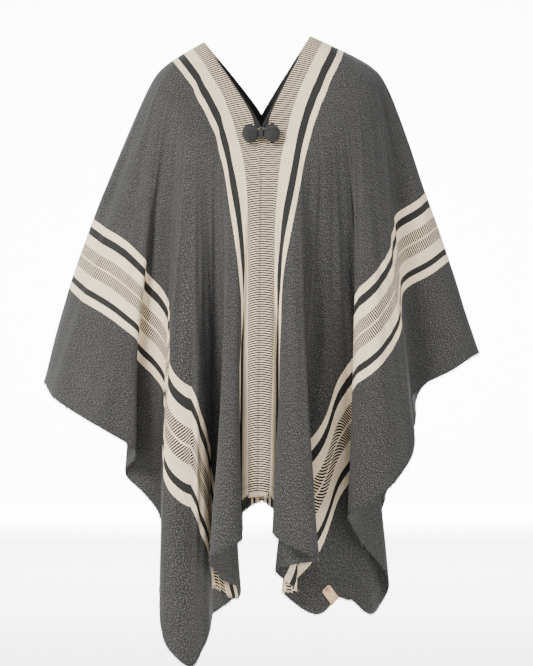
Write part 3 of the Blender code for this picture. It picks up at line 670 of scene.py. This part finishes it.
def make_felt():
    """Wool felt, fulled by hand: no weave, a dense matte nap with lumps and pale hairs."""
    finish, tree, shader = new_finish("wool felt, fulled", "#474747", 0.97, sheen=0.06)
    place = add(tree, "TexCoord").outputs["Object"]
    nap = noise(tree, place, 1.1 * MM, 4.0, 0.65)
    lumps = noise(tree, place, 6 * MM, 2.0)
    colour = tones(tree, nap, ((0.30, "#0f0e0e"), (0.75, "#302f2e")))
    tree.links.new(colour, shader.inputs["Base Color"])
    height = math_node(tree, "ADD", nap, math_node(tree, "MULTIPLY", lumps, 1.5))
    set_bump(tree, shader, height, 0.6, 0.5 * MM)
    return finish


def make_leather():
    """Vegetable-tanned leather, undyed: warm tan, fine pores, slightly polished where rubbed."""
    finish, tree, shader = new_finish("leather, vegetable tanned", "#d6ae82", 0.58)
    place = add(tree, "TexCoord").outputs["Object"]
    pores = add(tree, "TexVoronoi", [(0, place)], Scale=1 / (0.9 * MM)).outputs[0]
    cloud = noise(tree, place, 7 * MM, 3.0)
    colour = tones(tree, cloud, ((0.34, "#c4976a"), (0.66, "#e0bd94")))
    tree.links.new(colour, shader.inputs["Base Color"])
    rough = add(tree, "MapRange", [(0, cloud)], To_Min=0.48, To_Max=0.7).outputs[0]
    tree.links.new(rough, shader.inputs["Roughness"])
    set_bump(tree, shader, pores, 0.35, 0.15 * MM)
    return finish


def make_nickel():
    """Brass, nickel plated and tumbled: a dull grey metal with faint rub marks."""
    finish, tree, shader = new_finish("brass, nickel plated", "#8f8a84", 0.36, metallic=1.0)
    place = add(tree, "TexCoord").outputs["Object"]
    rub = noise(tree, place, 0.8 * MM, 3.0)
    rough = add(tree, "MapRange", [(0, rub)], To_Min=0.28, To_Max=0.46).outputs[0]
    tree.links.new(rough, shader.inputs["Roughness"])
    return finish


# Pieces -----------------------------------------------------------------------------

def piece_from(name, shape, finish, node):
    """Turn a bmesh into a finished piece that stands for a CAD node."""
    mesh = bpy.data.meshes.new(name)
    shape.to_mesh(mesh)
    shape.free()
    mesh.shade_smooth()
    mesh.materials.append(finish)
    piece = bpy.data.objects.new(name, mesh)
    bpy.context.scene.collection.objects.link(piece)
    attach(piece, "root")
    if node:
        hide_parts(node)
    return piece


def sheet_shape(grid, flat=None):
    """An open sheet through a grid of points, with its UV map from the flat cloth."""
    lines, columns = len(grid), len(grid[0])
    shape = bmesh.new()
    bmesh.ops.create_grid(shape, x_segments=columns - 1, y_segments=lines - 1, size=0.5)
    shape.verts.ensure_lookup_table()
    places = {}
    for vert in shape.verts:
        column = round((vert.co.x + 0.5) * (columns - 1))
        line = round((vert.co.y + 0.5) * (lines - 1))
        vert.co = grid[line][column]
        places[vert] = (line, column)
    if flat is not None:
        layer = shape.loops.layers.uv.new("cloth")
        for face in shape.faces:
            for loop in face.loops:
                line, column = places[loop.vert]
                loop[layer].uv = flat[line][column]
    return shape


def make_panel(name, node, side, grid, flat, twills):
    """One panel as a sheet of cloth with its wall; twills are its outer and inner faces."""
    shape = sheet_shape(grid, flat)
    if side.sign > 0:
        bmesh.ops.reverse_faces(shape, faces=shape.faces)
    piece = piece_from(name, shape, twills[0], node)
    piece.data.materials.append(twills[1])
    wall = piece.modifiers.new("wall", "SOLIDIFY")
    wall.thickness = WALL
    wall.offset = -1.0
    wall.material_offset = 1
    return piece


def add_strand(shape, layer, root, way, length, radius, place):
    """A short tapered yarn end that leaves root along way; place is its spot on the flat cloth."""
    turn = way.to_track_quat("Z", "Y").to_matrix().to_4x4()
    middle = Matrix.Translation(root + way * length * 0.42)
    made = bmesh.ops.create_cone(shape, cap_ends=True, segments=4, radius1=radius,
                                 radius2=radius * 0.35, depth=length, matrix=middle @ turn)
    for face in {face for vert in made["verts"] for face in vert.link_faces}:
        for loop in face.loops:
            loop[layer].uv = place


def make_fray(name, grid, flat, cuts, skip, twill):
    """The short frayed edge: yarn ends along the hem and the side edge."""
    dice = random.Random(name)
    shape = bmesh.new()
    layer = shape.loops.layers.uv.new("cloth")
    cut = skip
    while cut < cuts[-1] - SELVEDGE:
        i = int(np.searchsorted(cuts, cut, side="right")) - 1
        share = (cut - cuts[i]) / (cuts[i + 1] - cuts[i])
        edge = Vector(grid[-1][i]).lerp(Vector(grid[-1][i + 1]), share)
        above = Vector(grid[-2][i]).lerp(Vector(grid[-2][i + 1]), share)
        beside = (Vector(grid[-1][i + 1]) - Vector(grid[-1][i])).normalized()
        way = (edge - above).normalized() + beside * dice.uniform(-0.55, 0.55)
        out = beside.cross(way).normalized()
        way = (way + out * dice.uniform(-0.35, 0.35)).normalized()
        place = Vector(flat[-1][i]).lerp(Vector(flat[-1][i + 1]), share)
        add_strand(shape, layer, edge - way * 0.5 * MM, way, dice.uniform(3.0, 7.0) * MM,
                   dice.uniform(0.45, 0.75) * MM, place)
        cut += dice.uniform(1.3, 2.6) * MM
    return piece_from(name, shape, twill, None)


FRINGE_WIDTH = 44 * MM
FRINGE_LENGTH = 10 * MM


def make_fringe(left_hem, right_hem, yarn):
    """Cream warp ends at the bottom of the centre front, in small uneven tufts."""
    dice = random.Random("fringe")
    shape = bmesh.new()
    layer = shape.loops.layers.uv.new("cloth")
    reach = -FRINGE_WIDTH / 2
    while reach < FRINGE_WIDTH / 2:
        cuts, hem = left_hem if reach < 0 else right_hem
        root = Vector([float(np.interp(abs(reach), cuts, hem[:, k])) for k in range(3)])
        lean = dice.uniform(-0.22, 0.22)
        for _ in range(4):
            way = Vector((lean + dice.uniform(-0.18, 0.18), dice.uniform(-0.15, 0.05), -1.0))
            way.normalize()
            start = root + Vector((dice.uniform(-0.6, 0.6) * MM, dice.uniform(0.4, 1.2) * MM, 0.6 * MM))
            add_strand(shape, layer, start, way, FRINGE_LENGTH * dice.uniform(0.75, 1.0),
                       dice.uniform(0.5, 0.7) * MM, (0.03, 0.87))
        reach += dice.uniform(1.5, 2.3) * MM
    return piece_from("fringe_tufts", shape, yarn, "centre_fringe")


# Toggle, in metres: two gathered felt ends and the yarn wound round their middle
TOGGLE_CENTRE = Vector((-0.0006, -0.1097, -0.1705))
TOGGLE_LEAN = -0.27
PUFF_LENGTH = 31 * MM
PUFF_HEIGHT = 35 * MM
PUFF_DEPTH = 22.8 * MM
PUFF_PINCH = 0.66
BINDING_WIDTH = 7 * MM
BINDING_HEIGHT = 22.5 * MM
BINDING_DEPTH = 14 * MM


def settle_toggle(shape):
    """Lay a toggle piece, made about its own middle, on the cloth."""
    bmesh.ops.transform(shape, verts=shape.verts,
                        matrix=Matrix.Translation(TOGGLE_CENTRE) @ Matrix.Rotation(TOGGLE_LEAN, 4, "X"))


def bell(value, middle, width):
    """A smooth bump, 1 at its middle."""
    return math.exp(-((value - middle) / width) ** 2)


def make_puff(name, node, sign, felt):
    """A felt end, swollen and lumpy, with gathers that run into the binding."""
    shape = bmesh.new()
    bmesh.ops.create_uvsphere(shape, u_segments=56, v_segments=40, radius=1.0,
                              matrix=Matrix.Rotation(math.pi / 2, 4, "Y"))
    inner_end = BINDING_WIDTH / 2 + SEAM_GAP - 0.8 * MM
    for vert in shape.verts:
        along = (vert.co.x + 1) / 2
        turn = math.atan2(vert.co.z, vert.co.y)
        swell = PUFF_PINCH + (1 - PUFF_PINCH) * math.sin(min(1.0, along * 1.25) * math.pi / 2)
        gather = 0.13 * (1 - along) ** 0.7 * math.sin(7 * turn + sign + 1.5 * along)
        dent = -0.17 * bell(turn, -0.5 * sign, 0.5) * bell(along, 0.85, 0.25)
        lump = 0.05 * math.sin(3 * turn + 4 * along + 2 * sign)
        size = swell * (1 + gather + dent + lump)
        vert.co = Vector((sign * (inner_end + along * PUFF_LENGTH),
                          vert.co.y * size * PUFF_DEPTH / 2,
                          vert.co.z * size * PUFF_HEIGHT / 2))
    if sign < 0:
        bmesh.ops.reverse_faces(shape, faces=shape.faces)
    settle_toggle(shape)
    return piece_from(name, shape, felt, node)


YARN_RADIUS = 0.9 * MM
YARN_TURNS = 5
YARN_STEP = 1.35 * MM


def make_binding(yarn):
    """Turns of yarn wound over the toggle's middle."""
    shape = bmesh.new()
    for i in range(YARN_TURNS):
        shift = (i - (YARN_TURNS - 1) / 2) * YARN_STEP
        top = Vector((shift, 0, BINDING_HEIGHT / 2 - YARN_RADIUS))
        ring = bmesh.ops.create_circle(shape, segments=8, radius=YARN_RADIUS,
                                       matrix=Matrix.Translation(top))
        edges = list({edge for vert in ring["verts"] for edge in vert.link_edges})
        bmesh.ops.rotate(shape, verts=ring["verts"], cent=top,
                         matrix=Matrix.Rotation(math.pi / 2, 3, "X"))
        bmesh.ops.spin(shape, geom=ring["verts"] + edges, cent=(shift, 0, 0), axis=(1, 0, 0),
                       angle=2 * math.pi, steps=40, use_merge=True)
    bmesh.ops.remove_doubles(shape, verts=shape.verts, dist=0.01 * MM)
    for vert in shape.verts:
        vert.co.y *= BINDING_DEPTH / BINDING_HEIGHT
        vert.co.x += 0.5 * MM * math.sin(math.atan2(vert.co.z, vert.co.y) + 0.6)
    bmesh.ops.recalc_face_normals(shape, faces=shape.faces)
    settle_toggle(shape)
    return piece_from("toggle_winding", shape, yarn, "toggle_binding")


# Leather tag folded over the hem of the right panel, in metres
TAG_CUT = 0.6225
TAG_WIDTH = 19 * MM
TAG_LENGTH = 33 * MM
TAG_CORNER = 3.5 * MM
LEATHER = 1.5 * MM
TAG_LIFT = 1.1 * MM
TAG_BEND = 2.4 * MM
TAG_COLUMNS = 12
TAG_ROWS = 18
RIVET_ROW = 3
RIVET_RADIUS = 3.25 * MM


def tag_axes(tree, grid, cuts):
    """Where the tag crosses the hem, and its directions along the hem, out and up."""
    low, high = (Vector([float(np.interp(TAG_CUT + shift, cuts, grid[-1][:, k])) for k in range(3)])
                 for shift in (-TAG_WIDTH / 2, TAG_WIDTH / 2))
    along = (high - low).normalized()
    middle = (low + high) / 2
    out = tree.find_nearest(middle + Vector((0, 0, 12 * MM)))[1]
    out = -out if out.y > 0 else out
    up = along.cross(out).normalized()
    return middle, along, out, up if up.z > 0 else -up


def tag_rows(tree, grid, cuts):
    """Rows of points across the tag: down its outer leaf, round the hem, up the inner leaf."""
    middle, along, out, up = tag_axes(tree, grid, cuts)
    clear = LEATHER / 2 + TAG_LIFT
    outer, inner = [], []
    for i in range(TAG_ROWS + 1):
        from_end = TAG_LENGTH * i / TAG_ROWS
        rounding = max(0.0, TAG_CORNER - from_end)
        short = TAG_CORNER - math.sqrt(TAG_CORNER ** 2 - rounding ** 2)
        spots = [middle + up * (TAG_LENGTH - from_end)
                 + along * (TAG_WIDTH - 2 * short) * (j / TAG_COLUMNS - 0.5)
                 for j in range(TAG_COLUMNS + 1)]
        seats = [tree.find_nearest(spot)[0] for spot in spots]
        outer.append([seat + out * clear for seat in seats])
        inner.insert(0, [seat - out * (WALL + clear) for seat in seats])
    bend = []
    for i in range(1, 8):
        turn = math.pi * i / 8
        bend.append([a.lerp(b, (1 - math.cos(turn)) / 2) - up * math.sin(turn) * TAG_BEND
                     for a, b in zip(outer[-1], inner[0])])
    return outer + bend + inner, out


def make_tag(grid, cuts, leather, nickel):
    """The tag: a strip laid up the cloth, turned over the cut edge, with its rivet's cap."""
    shape = sheet_shape(grid)
    shape.normal_update()
    tree = BVHTree.FromBMesh(shape)
    shape.free()
    rows, out = tag_rows(tree, grid, cuts)
    piece = piece_from("tag_strip", sheet_shape(rows), leather, "leather_tag")
    thick = piece.modifiers.new("leather", "SOLIDIFY")
    thick.thickness = LEATHER
    thick.offset = 0.0
    soft = piece.modifiers.new("rubbed edge", "BEVEL")
    soft.width = 0.3 * MM
    soft.segments = 2

    seat = rows[RIVET_ROW][TAG_COLUMNS // 2] + out * (LEATHER / 2 + 0.1 * MM)
    turn = out.to_track_quat("Z", "Y").to_matrix().to_4x4()
    cap = bmesh.new()
    bmesh.ops.create_uvsphere(cap, u_segments=32, v_segments=16, radius=RIVET_RADIUS)
    bmesh.ops.scale(cap, vec=(1, 1, 0.36), verts=cap.verts)
    bmesh.ops.transform(cap, verts=cap.verts, matrix=Matrix.Translation(seat) @ turn)
    piece_from("rivet_cap", cap, nickel, "tag_rivet")


# Building ---------------------------------------------------------------------------

def build_garment():
    """Both panels with their frayed edges, and what is sewn on them."""
    # The outer face gets a narrow strip of painted shade beside the slit, the inner face a wide one
    twills = (make_twill("wool twill, woven and brushed", SLIT_SHADE_FRONT),
              make_twill("wool twill, inner face, wide painted slit shade", SLIT_SHADE_INNER))
    felt = make_felt()
    made = {}
    for name, side, front, back, creases in (
            ("left", LEFT, LEFT_FRONT, LEFT_BACK, LEFT_CREASES),
            ("right", RIGHT, RIGHT_FRONT, RIGHT_BACK, RIGHT_CREASES)):
        panel = Panel(side, front, back)
        grid, flat = sheet_grids(panel, creases)
        cuts = column_cuts(panel)
        sheet = make_panel(name + "_cloth", name + "_panel", side, grid, flat, twills)
        fray = make_fray(name + "_fray", grid, flat, cuts, FRINGE_WIDTH / 2, twills[0])
        made[name] = (grid, cuts)
    left_hem, right_hem = ((cuts, grid[-1]) for grid, cuts in made.values())
    make_fringe(left_hem, right_hem, make_yarn("wool yarn, undyed, cut", "#bfab8c", "#efe1ca"))
    make_puff("toggle_end_left", "toggle_left", -1, felt)
    make_puff("toggle_end_right", "toggle_right", 1, felt)
    make_binding(make_yarn("wool yarn, charcoal, wound", "#151414", "#343332"))
    make_tag(*made["right"], make_leather(), make_nickel())


# Stage, in metres: a wide floor whose rim rises all round, out of the cameras' way
FLOOR_DROP = 1.45
FLOOR_REACH = 26.0
RIM_START = 17.0
RIM_RUN = 6.0
RIM_HEIGHT = 5.0

CAMERA_DISTANCE = 8.0
VIEW_WIDTH = 0.9665
VIEW_CENTRE = (0.009, -0.528)

Lamp = namedtuple("Lamp", "name place aim size power")
LAMPS = (
    Lamp("key", (-2.5, -2.7, 1.9), (0, 0, -0.5), 1.3, 290),
    Lamp("fill", (3.0, -3.0, 0.3), (0, 0, -0.6), 2.6, 36),
    Lamp("floor wash", (0, 9.0, 5.0), (0, 9.5, -1.5), 8.0, 4500),
    Lamp("rim wash", (0, 15.0, 4.0), (0, 22.0, -0.5), 8.0, 6000),
)


def build_floor():
    """The pale floor."""
    shape = bmesh.new()
    bmesh.ops.create_grid(shape, x_segments=60, y_segments=60, size=FLOOR_REACH)
    for vert in shape.verts:
        vert.co.z = -FLOOR_DROP + RIM_HEIGHT * ease((vert.co.xy.length - RIM_START) / RIM_RUN)
    mesh = bpy.data.meshes.new("studio_floor")
    shape.to_mesh(mesh)
    shape.free()
    mesh.shade_smooth()
    paper, _, _ = new_finish("paper, matte white", "#f9f9f8", 0.9)
    mesh.materials.append(paper)
    floor = bpy.data.objects.new("studio_floor", mesh)
    bpy.context.scene.collection.objects.link(floor)


def light_studio():
    """Even light from all round, and soft lamps."""
    world = bpy.data.worlds.new("studio")
    world.use_nodes = True
    background = world.node_tree.nodes["Background"]
    background.inputs["Color"].default_value = linear("#fdfdff")
    background.inputs["Strength"].default_value = 0.75
    bpy.context.scene.world = world
    for lamp in LAMPS:
        light = bpy.data.objects.new(lamp.name, bpy.data.lights.new(lamp.name, "AREA"))
        light.data.size = lamp.size
        light.data.energy = lamp.power
        light.location = lamp.place
        way = Vector(lamp.aim) - Vector(lamp.place)
        light.rotation_euler = way.to_track_quat("-Z", "Y").to_euler()
        bpy.context.scene.collection.objects.link(light)


def place_camera():
    """A level camera straight in front."""
    camera = bpy.data.objects.new("camera", bpy.data.cameras.new("camera"))
    camera.data.sensor_width = 36.0
    camera.data.sensor_fit = "HORIZONTAL"
    camera.data.lens = 36.0 * CAMERA_DISTANCE / VIEW_WIDTH
    camera.data.clip_end = 60.0
    camera.location = (VIEW_CENTRE[0], -CAMERA_DISTANCE, VIEW_CENTRE[1])
    camera.rotation_euler = (math.pi / 2, 0, 0)
    bpy.context.scene.collection.objects.link(camera)
    bpy.context.scene.camera = camera


build_garment()
build_floor()
light_studio()
place_camera()
